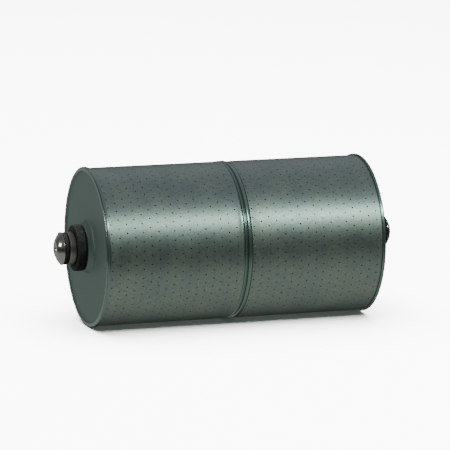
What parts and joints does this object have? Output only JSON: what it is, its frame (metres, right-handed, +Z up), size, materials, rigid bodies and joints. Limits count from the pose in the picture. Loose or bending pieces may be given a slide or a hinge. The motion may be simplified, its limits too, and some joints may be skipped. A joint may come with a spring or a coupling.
{
  "type": "fuel filter canister",
  "caption": "Perforated plated-steel fuel filter can with a beaded middle joint, rolled rims, and on each end a rubber grommet and a nozzle with a sprung check valve.",
  "frame": {"origin": "middle of the can on its axis, which is the centre of the bounding box", "axes": "+X along the can's axis towards the rear end, +Z up, and the front end faces -X"},
  "size_m": [0.195, 0.0888, 0.0888],
  "materials": {
    "shell_plate": "zinc plated, satin",
    "cap_plate": "zinc plated, satin",
    "turned_steel": "turned",
    "polished_steel": "polished",
    "plated_fastener": "zinc plated",
    "spring_steel": "drawn wire",
    "tinplate": "tin plated",
    "rubber": "matt",
    "filter_paper": "resin treated",
    "felt": "pressed"
  },
  "bodies": {
    "canister": {"front_shell": "shell_plate", "rear_shell": "shell_plate", "joining_band": "cap_plate", "front_end_cap": "cap_plate", "rear_end_cap": "cap_plate", "front_nozzle": "turned_steel", "rear_nozzle": "turned_steel", "front_grommet": "rubber", "rear_grommet": "rubber", "front_washer": "plated_fastener", "rear_washer": "plated_fastener", "front_lock_nut": "plated_fastener", "rear_lock_nut": "plated_fastener", "front_valve_spring": "spring_steel", "rear_valve_spring": "spring_steel", "front_outer_disc": "tinplate", "rear_outer_disc": "tinplate", "front_inner_disc": "tinplate", "rear_inner_disc": "tinplate", "front_core_tube": "tinplate", "rear_core_tube": "tinplate", "front_pleated_paper": "filter_paper", "rear_pleated_paper": "filter_paper", "front_tail_seal": "rubber", "rear_tail_seal": "rubber", "middle_gasket": "felt", "pack_coupling": "tinplate"},
    "front_check_valve": {"front_valve": "polished_steel", "front_valve_seal": "rubber", "front_valve_nut": "plated_fastener"},
    "rear_check_valve": {"rear_valve": "polished_steel", "rear_valve_seal": "rubber", "rear_valve_nut": "plated_fastener"}
  },
  "joints": [
    {"name": "front_valve_slide", "type": "slide", "parent": "canister", "child": "front_check_valve", "axis": [-1, 0, 0], "range_m": [0, 0.0025], "stiffness_N_per_m": 500, "springref_m": -0.0016, "deforming": ["front_valve_spring"]},
    {"name": "rear_valve_slide", "type": "slide", "parent": "canister", "child": "rear_check_valve", "axis": [1, 0, 0], "range_m": [0, 0.0025], "stiffness_N_per_m": 500, "springref_m": -0.0016, "deforming": ["rear_valve_spring"]}
  ]
}
